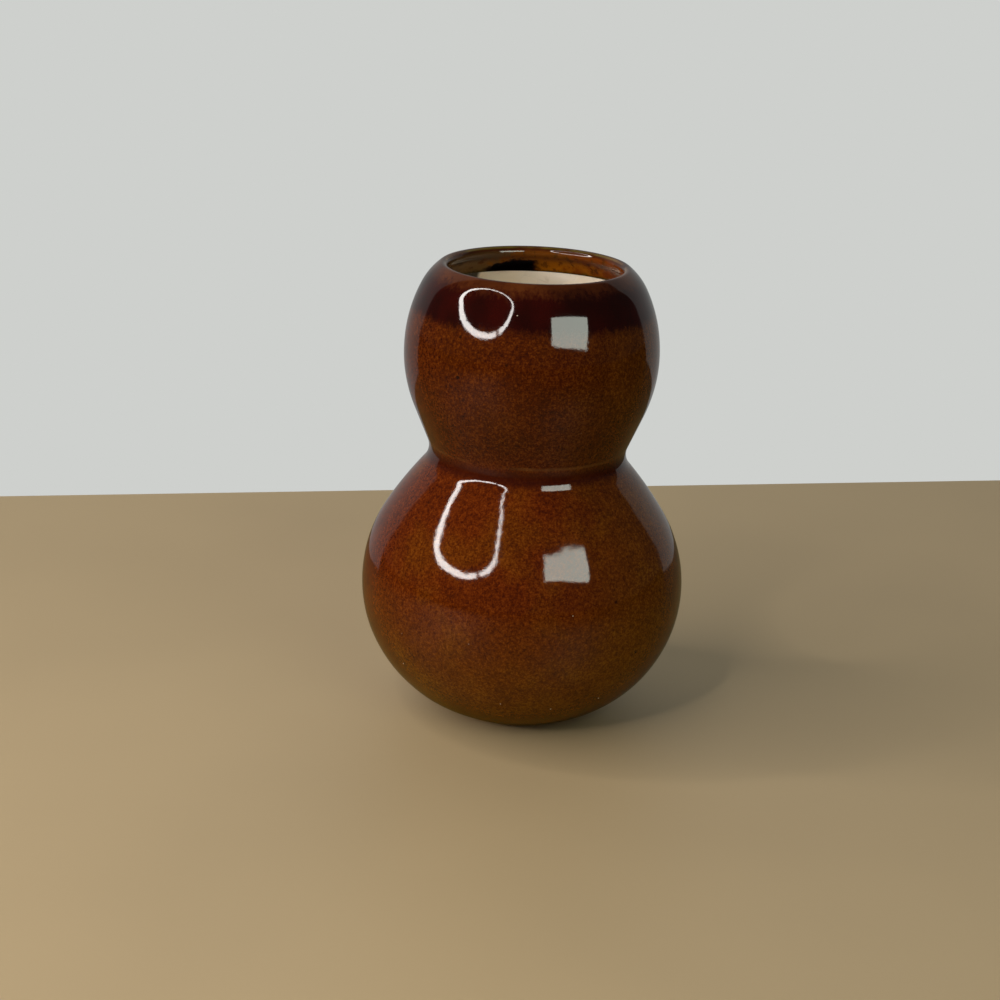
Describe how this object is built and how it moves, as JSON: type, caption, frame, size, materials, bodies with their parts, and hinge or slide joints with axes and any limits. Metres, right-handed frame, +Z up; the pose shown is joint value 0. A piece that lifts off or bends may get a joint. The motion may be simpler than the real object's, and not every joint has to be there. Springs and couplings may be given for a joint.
{
  "type": "gourd vase",
  "caption": "Small double-gourd ceramic vase with a round lower bulb, a tight waist, a smaller upper bulb, an in-turned lip, amber glaze and a dark dipped rim.",
  "frame": {"origin": "centre of the foot on the surface the vase stands on", "axes": "+Z up along the vase's axis of revolution, out of the mouth; the camera of the picture looks along +Y"},
  "size_m": [0.1008, 0.1008, 0.143],
  "materials": {
    "buff_clay": "matte fired clay",
    "fired_slip": "matte fired slip",
    "cream_glaze": "satin glaze",
    "amber_glaze": "gloss glaze, finely speckled",
    "dip_glaze": "gloss glaze"
  },
  "bodies": {
    "root": {"lower_bulb": "buff_clay", "upper_bulb": "buff_clay", "waist_slip": "fired_slip", "liner_glaze": "cream_glaze", "outer_glaze": "amber_glaze", "rim_glaze": "dip_glaze"}
  },
  "joints": []
}
